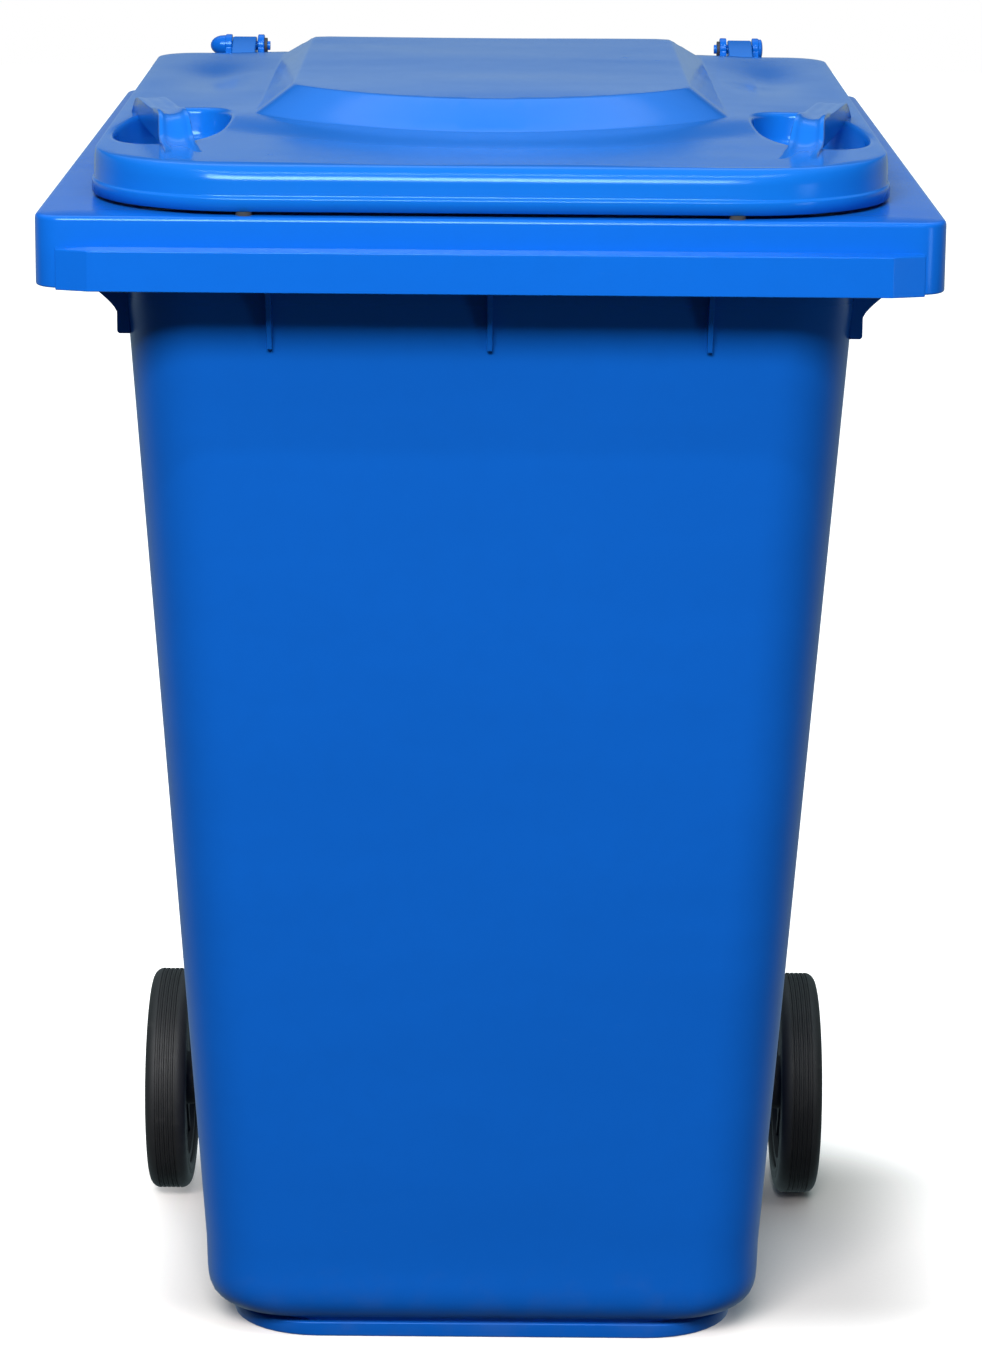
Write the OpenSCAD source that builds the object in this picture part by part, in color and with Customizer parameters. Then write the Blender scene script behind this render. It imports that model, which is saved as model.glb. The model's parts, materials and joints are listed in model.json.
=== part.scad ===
// Two-wheeled refuse bin with a domed, hinged lid.
// Lengths in millimetres. +Z is up and the front of the bin faces -Y.
// Inside the modules y runs back from the front of the rim; place() centres the bin on its origin.

/* [Overall] */
// Width of the rim
rim_w = 650; // [540:1:760]
// Height of the rim's top at the front
rim_h = 930; // [760:1:1100]
// Depth of the rim, front to back
rim_d = 738; // [620:1:880]
// Slope of the rim and lid, rising to the back, in degrees
rim_slope = 4.66; // [2:0.01:7]

/* [Body] */
// Wall thickness of the body
wall = 4; // [3:0.1:6]
// Thickness of the floor
floor_t = 6; // [4:0.5:10]
// Width of the body at its base
base_w = 453; // [380:1:520]
// Distance of the base's front from the rim's front
base_front = 230; // [180:1:280]
// Distance of the base's back from the rim's front
base_back = 608; // [520:1:660]
// Vertical corner radius at the base
base_r = 46; // [30:1:70]
// How much narrower the body is than the rim, just below it
neck_inset_side = 53; // [40:1:70]
// How far the body's front stands in from the rim, just below it
neck_inset_front = 34; // [26:1:46]
// How far the body's back stands in from the rim, just below it
neck_inset_back = 42; // [30:1:55]
// Vertical corner radius below the rim
neck_r = 58; // [40:1:80]
// Height of the rim's outer skirt
collar_h = 51; // [40:1:70]
// Vertical corner radius of the rim
rim_r = 20; // [12:1:40]
// Height of the proud band along the bottom of the front skirt
band_h = 28; // [20:1:40]
// How far that band stands proud
band_proud = 12; // [8:0.5:16]
// Height of the foot ring under the body
foot_h = 14; // [8:1:20]
// How far the foot ring stands in from the body
foot_inset = 20; // [14:1:30]
// Thickness of the stiffening ribs
rib_t = 4; // [3:0.5:6]
// Spacing of the ribs under the front rim
rib_pitch = 160; // [120:1:190]

/* [Lid] */
// Wall thickness of the lid
lid_t = 3; // [2.5:0.1:4]
// Rim left bare beside the lid
lid_margin = 36; // [20:1:40]
// Distance of the lid's front edge behind the bin's front
lid_front = 20; // [18:1:34]
// Gap between the rim and the lid's skirt
lid_gap = 3; // [2.5:0.5:5]
// Height of the lid's flat top above the rim
lid_h = 35.5; // [32:0.5:46]
// Corner radius at the front of the lid
lid_front_r = 106; // [50:1:115]
// Corner radius at the back of the lid
lid_back_r = 45; // [30:1:70]
// Height of the dome above the flat top
dome_h = 25; // [16:0.5:40]
// Width of the dome at its foot
dome_w = 368; // [300:1:400]

/* [Grips] */
// Half the width of each finger pocket
grip_half_w = 41; // [34:1:43]
// Half the length of each finger pocket
grip_half_l = 112; // [80:1:120]
// Distance of each pocket's middle from the centre plane
grip_x = 241; // [225:1:241]
// Distance of each pocket's middle behind the bin's front
grip_y = 236; // [210:1:250]
// Width of the strap across each pocket
strap_w = 24; // [18:1:28]
// Thickness of the strap
strap_t = 7; // [5:0.5:10]
// Height of each strap's crest above the lid's flat top
strap_rise = 18; // [8:1:24]

/* [Hinge] */
// Radius of the hinge pins
pin_r = 4; // [3:0.1:6]
// Running clearance round each pin
pin_clear = 0.06; // [0.02:0.01:0.1]
// Distance of each hinge's middle from the centre plane
hinge_x = 223; // [190:0.5:230]
// Length of the lid's knuckle
knuckle_l = 21; // [16:0.5:30]
// Wall of the lid's knuckle round its pin
knuckle_t = 4; // [3:0.5:6]
// Wall of each ear round its pin
ear_wall = 6; // [4:0.5:8]
// Rim of each push-on clip round its pin
clip_rim = 3; // [2:0.5:4]
// Thickness of each ear on the body
ear_t = 6; // [5:0.5:9]
// Gap between a knuckle and each ear
ear_gap = 1; // [0.5:0.1:2]
// Distance of the hinge axis behind the rim
hinge_back = 37; // [32:1:50]
// Height of the hinge axis above the rim at its back
hinge_up = 37.8; // [30:0.1:50]
// Radius of the rear handle bar
bar_r = 11; // [9:0.5:14]

/* [Wheels] */
// Radius of the wheels
wheel_r = 100; // [80:1:125]
// Width of the tyres
tyre_w = 36; // [30:1:46]
// Distance between the tyres' outer faces
track = 604; // [560:1:640]
// Distance of the axle from the rim's front
axle_y = 631; // [600:1:700]
// Radius of the axle
axle_r = 10; // [8:0.5:12]
// Clearance round the axle where it runs or passes through
axle_clear = 0.06; // [0.02:0.01:0.1]
// Radius of the latch pin in each wheel
latch_r = 4; // [3:0.5:5]
// Travel of each latch pin
latch_travel = 3; // [3:0.5:4]

/* [Hidden] */
rise = tan(rim_slope);
// Front of the bin, which is the face of the proud band, is y = 0.
skirt_y = band_proud;
neck_w = rim_w - 2 * neck_inset_side;
neck_front = skirt_y + neck_inset_front;
neck_back = rim_d - neck_inset_back;
base_round = 40;
base_turn = 19;
hinge_y = rim_d + hinge_back;
hinge_z = rim_h + rim_d * rise + hinge_up;
ear_r = pin_r + ear_wall;
knuckle_r = pin_r + knuckle_t;
bar_drop = bar_r + pin_r + clip_rim + 0.5;
bin_d = hinge_y + max(ear_r, bar_r);
ear_in = hinge_x - knuckle_l / 2 - ear_gap - ear_t;
ear_out = hinge_x + knuckle_l / 2 + ear_gap;
lid_back = rim_d - 10;
lid_hw = rim_w / 2 - lid_margin;
lug_t = 14;
lug_r = 17;
lug_edge = 5;
lug_in = 70;
bush_t = 3;
hub_r = 24;
hub_l = 52;
hub_side_gap = hub_l - 2 - tyre_w;
wheel_in = track / 2 - tyre_w - hub_side_gap;
hub_rim_r = wheel_r - 22;
hub_rim_t = 8;
latch_x = 38;
groove_w = 2 * latch_r + 0.6;
groove_r = axle_r + 0.5 - latch_travel;
latch_tip = groove_r + 0.4;
latch_l = 13;
spring_l = 12;
boss_r = 7;
fit_gap = 0.3;
push_fit = 0.02;
web_x = 22;
web_t = 6;
cap_r = 27;
cap_lap = 6;
buffer_r = 6;
blue = "#0f5fc4";
black = "#17181a";
steel = "#9aa0a6";

// ---- helpers ----

function mix(a, b, t) = a + (b - a) * t;

// Points along an elliptical corner.
function bend(cx, cy, rx, ry, a0, n) = [
    for (i = [0 : n - 1]) let (a = a0 + 90 * i / (n - 1)) [cx + rx * cos(a), cy + ry * sin(a)]
];

// Rounded outline seen from above, anticlockwise: half width, front, back, corner radii.
function outline(hw, yf, yb, rfx, rfy, rb) = concat(
    bend(hw - rfx, yf + rfy, rfx, rfy, -90, 9),
    bend(hw - rb, yb - rb, rb, rb, 0, 7),
    bend(rb - hw, yb - rb, rb, rb, 90, 7),
    bend(rfx - hw, yf + rfy, rfx, rfy, 180, 9)
);

// The outline lifted to height z, or to z above a plane that slopes with the rim.
function flat_ring(shape, z) = [for (p = shape) [p.x, p.y, z]];
function rim_ring(shape, h) = [for (p = shape) [p.x, p.y, rim_h + h + p.y * rise]];

// Closed solid through a list of rings, capped at the first and the last.
module loft(rings) {
    n = len(rings[0]);
    last = (len(rings) - 1) * n;
    polyhedron(
        points = [for (ring = rings) for (p = ring) p],
        faces = concat(
            [[for (i = [0 : n - 1]) i]],
            [[for (i = [n - 1 : -1 : 0]) last + i]],
            [
                for (j = [0 : len(rings) - 2]) for (i = [0 : n - 1]) let (k = (i + 1) % n)
                [j * n + i, (j + 1) * n + i, (j + 1) * n + k, j * n + k]
            ]
        )
    );
}

module place() {
    translate([0, -bin_d / 2, 0]) children();
}

module both() {
    children();
    mirror([1, 0, 0]) children();
}

// A YZ profile given thickness t along X, starting at x.
module slab(x, t) {
    translate([x, 0, 0]) rotate([90, 0, 90]) linear_extrude(height = t) children();
}

// A bar or a bore along X.
module rod(x0, x1, y, z, r) {
    translate([x0, y, z]) rotate([0, 90, 0]) cylinder(h = x1 - x0, r = r, $fn = 48);
}

// ---- body ----

function neck_z(y) = rim_h - wall + y * rise;
function front_at(z) = mix(base_front, neck_front, (z - base_round) / (neck_z(neck_front) - base_round));
function back_at(z) = mix(base_back, neck_back, (z - base_round) / (neck_z(neck_back) - base_round));
function side_at(z, y) = mix(base_w, neck_w, (z - base_round) / (neck_z(y) - base_round)) / 2;

function base_shape(i) = outline(
    base_w / 2 - i, base_front + i, base_back - i,
    max(base_r - i, 6), max(base_r - i, 6), max(base_r - i, 6)
);
function neck_shape(i) = outline(
    neck_w / 2 - i, neck_front + i, neck_back - i, neck_r - i, neck_r - i, neck_r - i
);
function rim_shape(i) = outline(
    rim_w / 2 - i, skirt_y + i, rim_d - i, rim_r - i, rim_r - i, rim_r - i
);

module body_shell() {
    edge = 2.5;
    loft([
        flat_ring(base_shape(foot_inset + edge), 0),
        flat_ring(base_shape(foot_inset), edge),
        flat_ring(base_shape(foot_inset), foot_h - 2),
        flat_ring(base_shape(foot_inset + 4), foot_h),
        flat_ring(base_shape(foot_inset + 4), base_turn - 1),
        flat_ring(base_shape(9), base_turn),
        flat_ring(base_shape(3), base_turn + 6),
        flat_ring(base_shape(0), base_round),
        rim_ring(neck_shape(0), -wall),
        rim_ring(rim_shape(wall), -wall),
        rim_ring(rim_shape(wall), -collar_h),
        rim_ring(rim_shape(0), -collar_h),
        rim_ring(rim_shape(0), -edge),
        rim_ring(rim_shape(edge), 0),
        rim_ring(neck_shape(wall - 1.5), 0),
        rim_ring(neck_shape(wall), -1.5),
        flat_ring(base_shape(wall), base_round),
        flat_ring(base_shape(wall + 5), base_turn + 5),
        flat_ring(base_shape(foot_inset + 12), floor_t)
    ]);
}

// Plan of the band along the foot of the front skirt, with slanted ends, drawn in by an inset.
module band_plan(inset) {
    end = rim_w / 2 - 40;
    slant = 24;
    deep = skirt_y + wall - 1 + 2 * inset;
    polygon([
        [inset - end - slant, deep], [inset - end - slant, skirt_y + inset], [inset - end, inset],
        [end - inset, inset], [end + slant - inset, skirt_y + inset], [end + slant - inset, deep]
    ]);
}

module front_band() {
    translate([0, 0, rim_h - collar_h]) linear_extrude(height = band_h) band_plan(0);
}

module band_hollow() {
    translate([0, 0, rim_h - collar_h - 1]) linear_extrude(height = band_h - wall + 1) band_plan(wall);
}

// Upright ribs that tie the front skirt to the wall and end on the wall below it.
module front_ribs() {
    foot_z = rim_h - collar_h - 38;
    top_z = rim_h - wall / 2;
    for (x = [-rib_pitch, 0, rib_pitch])
        slab(x - rib_t / 2, rib_t)
        polygon([
            [skirt_y + wall / 2, top_z], [skirt_y + wall / 2, rim_h - collar_h + band_h],
            [wall / 2, rim_h - collar_h + band_h - wall / 2], [wall / 2, rim_h - collar_h + 12],
            [front_at(foot_z) - 2, foot_z], [front_at(foot_z) + wall / 2, foot_z],
            [front_at(top_z) + wall / 2, top_z]
        ]);
}

// Scooped brackets under the rim's front and back corners.
module side_gussets() {
    y_front = neck_front + neck_r + 6;
    y_back = neck_back - neck_r - 6;
    reach = rim_w / 2 - wall / 2;
    for (y = [y_front, y_back]) {
        skirt_z = neck_z(y) + wall - collar_h;
        low = skirt_z - 38;
        high = neck_z(y) + wall / 2;
        root = side_at(low, y) + 8;
        scoop = 24;
        both()
        translate([0, y + rib_t / 2, 0])
        rotate([90, 0, 0])
        linear_extrude(height = rib_t)
        polygon(concat(
            [[side_at(low, y) - wall / 2, low], [root, low]],
            [for (t = [0 : 0.2 : 1]) [root + scoop * t * t, skirt_z - scoop * (1 - t)]],
            [[reach, skirt_z + 14], [reach, high], [side_at(high, y) - wall / 2, high]]
        ));
    }
}

// Ears that carry the hinge pins, and the handle bar between them.
module ear(x) {
    low = hinge_z - 80;
    slab(x, ear_t)
    union() {
        polygon([
            [rim_d - wall / 2, low], [rim_d + 2, low], [hinge_y + 6, hinge_z - bar_drop - bar_r + 1],
            [hinge_y + ear_r, hinge_z - bar_drop], [hinge_y + ear_r, hinge_z],
            [hinge_y - ear_r, hinge_z], [rim_d - wall / 2, rim_h + rim_d * rise - 4]
        ]);
        translate([hinge_y, hinge_z]) circle(r = ear_r, $fn = 48);
    }
}

// Where the back wall's outer face lies at height z and distance x from the centre plane.
function back_face(z, x) = let (
    r = base_r,
    in_corner = max(0, x - (side_at(z, base_back) - r))
) back_at(z) - r + sqrt(max(0, r * r - in_corner * in_corner));

// Lugs down the back that the axle passes through.
module axle_lug(x) {
    high = wheel_r + 70;
    low = wheel_r - 55;
    slab(x, lug_t)
    union() {
        polygon([
            [back_face(high, x) - wall / 2, high], [axle_y + 9, wheel_r + 14],
            [axle_y + 9, wheel_r - 14], [back_face(low, x) - wall / 2, low]
        ]);
        translate([axle_y, wheel_r]) circle(r = lug_r, $fn = 48);
    }
}

module body() {
    color(blue)
    place()
    difference() {
        union() {
            difference() {
                union() {
                    body_shell();
                    front_band();
                }
                band_hollow();
            }
            front_ribs();
            side_gussets();
            both() {
                ear(ear_in);
                ear(ear_out);
                axle_lug(base_w / 2 - lug_edge - lug_t);
                axle_lug(lug_in - lug_t / 2);
            }
            rod(-ear_in - 1, ear_in + 1, hinge_y, hinge_z - bar_drop, bar_r);
        }
        both() {
            rod(ear_in - 2, ear_out + ear_t + 2, hinge_y, hinge_z, pin_r + pin_clear);
        }
        rod(-base_w / 2, base_w / 2, axle_y, wheel_r, axle_r + axle_clear);
        for (p = buffer_places) {
            translate([p.x, p.y, rim_h + p.y * rise - wall - 1])
            cylinder(h = wall + 2, r = buffer_r / 2 + 0.1, $fn = 32);
        }
    }
}

// ---- lid ----

// Plan of the lid, drawn in by i at its front and back and by s at its sides.
function lid_shape(i, s) = outline(
    lid_hw - s, lid_front + i, lid_back - i,
    lid_front_r - i, lid_front_r - i, lid_back_r - i
);
function dome_shape(i) = outline(
    dome_w / 2 - i, 201 + 1.2 * i, lid_back - 26 - 1.4 * i, dome_w / 2 - i - 12, 150 - i, 14
);
function plinth_shape(i) = outline(
    dome_w / 2 + 46 - i, 100 + i, lid_back - 16, dome_w / 2 - i, 170 - i, 30
);

module lid_shell() {
    dome_run = 28;
    loft([
        rim_ring(dome_shape(dome_run), lid_h + dome_h - lid_t),
        rim_ring(dome_shape(2), lid_h + 4 - lid_t),
        rim_ring(plinth_shape(0), lid_h + 1 - lid_t),
        rim_ring(lid_shape(14, 3 + lid_t), lid_h - lid_t),
        rim_ring(lid_shape(8, 2.5 + lid_t), lid_h - lid_t - 3),
        rim_ring(lid_shape(3 + lid_t, 2 + lid_t), lid_h - lid_t - 8),
        rim_ring(lid_shape(lid_t, lid_t), lid_gap + 9),
        rim_ring(lid_shape(lid_t, lid_t), lid_gap),
        rim_ring(lid_shape(0, 0), lid_gap),
        rim_ring(lid_shape(0, 0), lid_gap + 10),
        rim_ring(lid_shape(2.5, 1.5), lid_gap + 12),
        rim_ring(lid_shape(3, 1.8), lid_h - 8),
        rim_ring(lid_shape(6, 2.2), lid_h - 3),
        rim_ring(lid_shape(13, 4), lid_h),
        rim_ring(plinth_shape(0), lid_h + 1),
        rim_ring(dome_shape(0), lid_h + 4),
        rim_ring(dome_shape(dome_run), lid_h + dome_h)
    ]);
}

// The frame of one grip: origin on the rim plane below the pocket, leaning with the rim.
module at_grip() {
    translate([grip_x, grip_y, rim_h + grip_y * rise]) rotate([rim_slope, 0, 0]) children();
}

module pocket(grow, low, high) {
    translate([0, 0, low])
    linear_extrude(height = high - low)
    polygon([
        for (i = [0 : 31]) let (a = i * 360 / 32)
        [(grip_half_w + grow) * cos(a), (grip_half_l + grow) * sin(a)]
    ]);
}

// The strap runs out towards the back, from a root near the lid's edge to a foot nearer the middle.
strap_turn = -10;
strap_off = 11;
strap_back = grip_half_l + 18;
strap_front = grip_half_l + 50;

// Strap across the pocket, with its crest near the front and a raised bead along each edge.
module strap() {
    bead = 3;
    low = lid_h + 2 - strap_t;
    crest = lid_h + strap_rise;
    lip = -grip_half_l;
    translate([strap_off, 0, 0])
    rotate([0, 0, strap_turn])
    translate([-strap_w / 2, 0, 0]) {
        slab(0, strap_w)
        polygon([
            [-strap_front, lid_h - 1], [-strap_front + 6, lid_h - lid_t], [lip + 4, low],
            [grip_half_l - 4, low], [strap_back, lid_h - lid_t], [strap_back, lid_h],
            [grip_half_l - 12, lid_h + 4], [lip + 44, crest], [lip + 24, crest - 1],
            [lip + 10, lid_h + strap_rise / 2], [lip - 2, lid_h + 1.5]
        ]);
        for (x = [0, strap_w - 5])
            slab(x, 5)
            polygon([
                [-strap_front - 4, lid_h - 1], [-strap_front + 8, lid_h - lid_t],
                [lip + 20, low + 2], [lip + 60, low + 2], [lip + 44, crest + bead],
                [lip + 22, crest + bead - 1], [lip + 7, lid_h + strap_rise / 2 + bead],
                [lip - 6, lid_h + bead]
            ]);
    }
}

// Arm from the back of the lid to the knuckle on the hinge axis.
module lid_arm() {
    back_z = rim_h + lid_back * rise;
    slab(hinge_x - knuckle_l / 2, knuckle_l)
    union() {
        polygon([
            [lid_back - lid_t + 1, back_z + lid_gap + 2], [hinge_y - 3, hinge_z - knuckle_r + 1],
            [hinge_y, hinge_z + knuckle_r], [hinge_y - 8, hinge_z + knuckle_r],
            [lid_back - lid_t + 1, back_z + lid_h - 9]
        ]);
        translate([hinge_y, hinge_z]) circle(r = knuckle_r, $fn = 48);
    }
}

module lid() {
    color(blue)
    place()
    difference() {
        union() {
            difference() {
                lid_shell();
                both() at_grip() pocket(0, lid_gap + 4, lid_h + dome_h);
            }
            both() at_grip() difference() {
                pocket(lid_t, lid_gap + 1, lid_h - 1);
                pocket(0, lid_gap + 4, lid_h + dome_h);
            }
            both() at_grip() strap();
            both() lid_arm();
        }
        both() rod(hinge_x - knuckle_l, hinge_x + knuckle_l, hinge_y, hinge_z, pin_r + pin_clear);
    }
}

// Rubber stops plugged into the rim under the lid's skirt.
buffer_places = [
    for (x = [-1, 1]) for (y = [lid_front + lid_t / 2 + 3, lid_back - lid_t / 2 - 4])
    [x * rim_w * 0.27, y]
];

module lid_buffers() {
    color(black)
    place()
    for (p = buffer_places)
        translate([p.x, p.y, rim_h + p.y * rise]) {
            rotate([rim_slope, 0, 0]) translate([0, 0, 0.05])
            cylinder(h = lid_gap - fit_gap - 0.05, r = buffer_r, $fn = 40);
            translate([0, 0, -wall - 3]) cylinder(h = wall + 4, r = buffer_r / 2, $fn = 32);
        }
}

// ---- hinge pins ----

module hinge_pin(head_l) {
    rod(ear_in - 5, ear_out + ear_t + 1, hinge_y, hinge_z, pin_r);
    translate([ear_out + ear_t + push_fit, hinge_y, hinge_z])
    rotate([0, 90, 0])
    rotate_extrude($fn = 48)
    polygon(concat(
        [[0, 0], [ear_r - 1, 0]],
        [for (a = [0 : 15 : 90]) [(ear_r - 1) * cos(a), 2 + head_l * sin(a)]]
    ));
}

module hinge_clip() {
    translate([ear_in - push_fit, hinge_y, hinge_z])
    rotate([0, -90, 0])
    difference() {
        cylinder(h = 2.4, r = pin_r + clip_rim, $fn = 40);
        translate([0, 0, -1]) cylinder(h = 5, r = pin_r + push_fit, $fn = 40);
    }
}

module hinge_pin_left() { color(blue) place() mirror([1, 0, 0]) hinge_pin(12); }
module hinge_pin_right() { color(blue) place() hinge_pin(2); }
module hinge_clip_left() { color(black) place() mirror([1, 0, 0]) hinge_clip(); }
module hinge_clip_right() { color(black) place() hinge_clip(); }

// ---- axle and wheels ----

axle_end = wheel_in + hub_l - 2;

module axle() {
    groove = wheel_in + latch_x;
    color(steel)
    place()
    difference() {
        rod(-axle_end, axle_end, axle_y, wheel_r, axle_r);
        both()
        translate([groove - groove_w / 2, axle_y, wheel_r])
        rotate([0, 90, 0])
        difference() {
            cylinder(h = groove_w, r = axle_r + 2, $fn = 48);
            translate([0, 0, -1]) cylinder(h = groove_w + 2, r = groove_r, $fn = 48);
        }
    }
}

// The frame of the right wheel: x runs outward from the inner face of its hub, on the axle.
module at_wheel() {
    place() translate([wheel_in, axle_y, wheel_r]) children();
}

module ring(x0, x1, r0, r1) {
    translate([x0, 0, 0])
    rotate([0, 90, 0])
    difference() {
        cylinder(h = x1 - x0, r = r1, $fn = 64);
        translate([0, 0, -1]) cylinder(h = x1 - x0 + 2, r = r0, $fn = 64);
    }
}

module spacer() {
    start = base_w / 2 - lug_edge;
    at_wheel() ring(start + fit_gap - wheel_in, -fit_gap, axle_r + axle_clear, axle_r + 5);
}

module wheel_hub() {
    spokes = 6;
    rim_x0 = hub_side_gap + 3;
    rim_x1 = hub_side_gap + tyre_w - 3;
    at_wheel()
    difference() {
        union() {
            ring(0, hub_l, axle_r + bush_t + push_fit, hub_r);
            ring(web_x, web_x + web_t, hub_r - 1, hub_rim_r - 1);
            ring(rim_x0, rim_x1, hub_rim_r - hub_rim_t, hub_rim_r);
            for (i = [0 : spokes - 1])
                rotate([i * 360 / spokes + 30, 0, 0])
                translate([hub_side_gap + 6, -2.5, hub_r - 1])
                cube([hub_l - cap_lap - hub_side_gap - 7, 5, hub_rim_r - hub_rim_t - hub_r + 2]);
            translate([latch_x, 0, hub_r - 4])
            cylinder(h = latch_tip + latch_l + spring_l - hub_r + 8, r = boss_r, $fn = 40);
        }
        translate([latch_x, 0, axle_r])
        cylinder(h = latch_tip + latch_l + spring_l + 0.5 - axle_r, r = latch_r + 0.1, $fn = 40);
    }
}

module hub_bush() {
    at_wheel()
    difference() {
        ring(0, hub_l - 3, axle_r + axle_clear, axle_r + bush_t);
        translate([latch_x, 0, axle_r - 2]) cylinder(h = bush_t + 4, r = latch_r + 0.1, $fn = 40);
    }
}

// Rubber tyre with rounded shoulders and fine grooves round the tread.
module tyre() {
    shoulder = 9;
    groove = 1.6;
    grooves = 5;
    pitch = (tyre_w - 2 * shoulder) / grooves;
    at_wheel()
    translate([hub_side_gap, 0, 0])
    rotate([0, 90, 0])
    rotate_extrude($fn = 96)
    polygon(concat(
        [[hub_rim_r + push_fit, 0]],
        [for (a = [-90 : 15 : 0]) [wheel_r - shoulder + shoulder * cos(a), shoulder + shoulder * sin(a)]],
        [for (i = [0 : grooves - 1]) for (q = [0 : 3]) let (x = shoulder + pitch * (i + 0.5))
            [wheel_r - (q == 1 || q == 2 ? groove : 0), x + (q < 2 ? -groove / 2 : groove / 2)]],
        [for (a = [0 : 15 : 90])
            [wheel_r - shoulder + shoulder * cos(a), tyre_w - shoulder + shoulder * sin(a)]],
        [[hub_rim_r + push_fit, tyre_w]]
    ));
}

module latch_pin() {
    at_wheel() translate([latch_x, 0, latch_tip]) cylinder(h = latch_l, r = latch_r, $fn = 40);
}

// Coil spring standing on the latch pin.
module latch_spring() {
    turns = 5;
    steps = 12;
    sides = 6;
    wire = 0.5;
    coil_r = latch_r - 1;
    height = spring_l - 2 * wire - 0.1;
    n = turns * steps;
    base = latch_tip + latch_l + wire + 0.05;
    at_wheel()
    translate([latch_x, 0, base])
    loft([
        for (j = [0 : n]) let (a = j * 360 / steps, z = height * j / n) [
            for (i = [sides - 1 : -1 : 0]) let (b = i * 360 / sides, r = coil_r + wire * cos(b))
            [r * cos(a), r * sin(a), z + wire * sin(b)]
        ]
    ]);
}

module hub_cap() {
    at_wheel() {
        ring(hub_l - cap_lap, hub_l + 0.2, hub_r + push_fit, cap_r);
        translate([hub_l, 0, 0])
        rotate([0, 90, 0])
        rotate_extrude($fn = 64)
        polygon([[0, push_fit], [cap_r, push_fit], [cap_r, 1.4], [cap_r - 1.5, 3], [cap_r - 6, 4], [0, 4.4]]);
    }
}

module left() {
    mirror([1, 0, 0]) children();
}

module axle_spacer_left() { color(black) left() spacer(); }
module axle_spacer_right() { color(black) spacer(); }
module wheel_hub_left() { color(black) left() wheel_hub(); }
module wheel_hub_right() { color(black) wheel_hub(); }
module tyre_left() { color(black) left() tyre(); }
module tyre_right() { color(black) tyre(); }
module hub_bush_left() { color("white") left() hub_bush(); }
module hub_bush_right() { color("white") hub_bush(); }
module latch_pin_left() { color(steel) left() latch_pin(); }
module latch_pin_right() { color(steel) latch_pin(); }
module latch_spring_left() { color(steel) left() latch_spring(); }
module latch_spring_right() { color(steel) latch_spring(); }
module hub_cap_left() { color(black) left() hub_cap(); }
module hub_cap_right() { color(black) hub_cap(); }

body();
lid();
hinge_pin_left();
hinge_pin_right();
hinge_clip_left();
hinge_clip_right();
lid_buffers();
axle();
axle_spacer_left();
axle_spacer_right();
wheel_hub_left();
wheel_hub_right();
tyre_left();
tyre_right();
hub_bush_left();
hub_bush_right();
latch_pin_left();
latch_pin_right();
latch_spring_left();
latch_spring_right();
hub_cap_left();
hub_cap_right();
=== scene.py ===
"""Wheelie bin: the moulded body and lid, the wheels and the studio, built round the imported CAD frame."""

import json
import math

import bmesh
import bpy
from bpy.props import FloatProperty, FloatVectorProperty, IntProperty, PointerProperty
from mathutils import Matrix, Vector, noise
from mathutils.geometry import delaunay_2d_cdt
from mathutils.kdtree import KDTree

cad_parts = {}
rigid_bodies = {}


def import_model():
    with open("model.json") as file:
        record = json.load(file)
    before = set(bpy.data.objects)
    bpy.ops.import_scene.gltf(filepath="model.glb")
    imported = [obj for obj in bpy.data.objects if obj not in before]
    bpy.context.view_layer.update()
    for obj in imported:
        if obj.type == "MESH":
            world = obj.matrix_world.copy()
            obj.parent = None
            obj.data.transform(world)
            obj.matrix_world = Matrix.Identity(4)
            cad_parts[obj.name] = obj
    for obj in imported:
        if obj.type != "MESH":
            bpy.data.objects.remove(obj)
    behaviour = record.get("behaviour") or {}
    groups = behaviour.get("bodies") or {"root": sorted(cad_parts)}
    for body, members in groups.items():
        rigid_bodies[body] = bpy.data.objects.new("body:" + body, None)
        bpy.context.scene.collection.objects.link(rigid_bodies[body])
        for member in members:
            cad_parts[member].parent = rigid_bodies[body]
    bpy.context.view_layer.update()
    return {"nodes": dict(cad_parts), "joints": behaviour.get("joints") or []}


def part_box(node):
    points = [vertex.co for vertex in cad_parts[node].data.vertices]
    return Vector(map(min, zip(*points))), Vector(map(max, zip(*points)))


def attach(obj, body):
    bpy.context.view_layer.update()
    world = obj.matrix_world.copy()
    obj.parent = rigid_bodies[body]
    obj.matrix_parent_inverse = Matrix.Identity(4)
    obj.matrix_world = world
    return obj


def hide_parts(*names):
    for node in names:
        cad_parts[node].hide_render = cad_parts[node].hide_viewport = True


bl_info = {
    "name": "Wheelie Bin",
    "version": (1, 0, 0),
    "blender": (4, 5, 0),
    "location": "View3D > Sidebar > Wheelie Bin",
    "description": "Builds a two-wheeled refuse bin piece by piece",
    "category": "Object",
}

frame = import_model()
BODY_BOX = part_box("body")
LID_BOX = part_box("lid")
HINGE = next(j for j in frame["joints"] if j["name"] == "lid_hinge")

FRONT = BODY_BOX[0].y
SIZES = "bin_sizes"
FINISHES = "bin_finishes"
STUDIO = "bin_studio"


# ---------------------------------------------------------------- properties


def length(name, description, default):
    return FloatProperty(name=name, description=description, default=default, unit="LENGTH", precision=4)


def angle(name, description, degrees):
    return FloatProperty(name=name, description=description, default=math.radians(degrees), subtype="ANGLE")


def colour(name, description, default):
    return FloatVectorProperty(
        name=name, description=description, default=default, subtype="COLOR", size=3, min=0, max=1
    )


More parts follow.
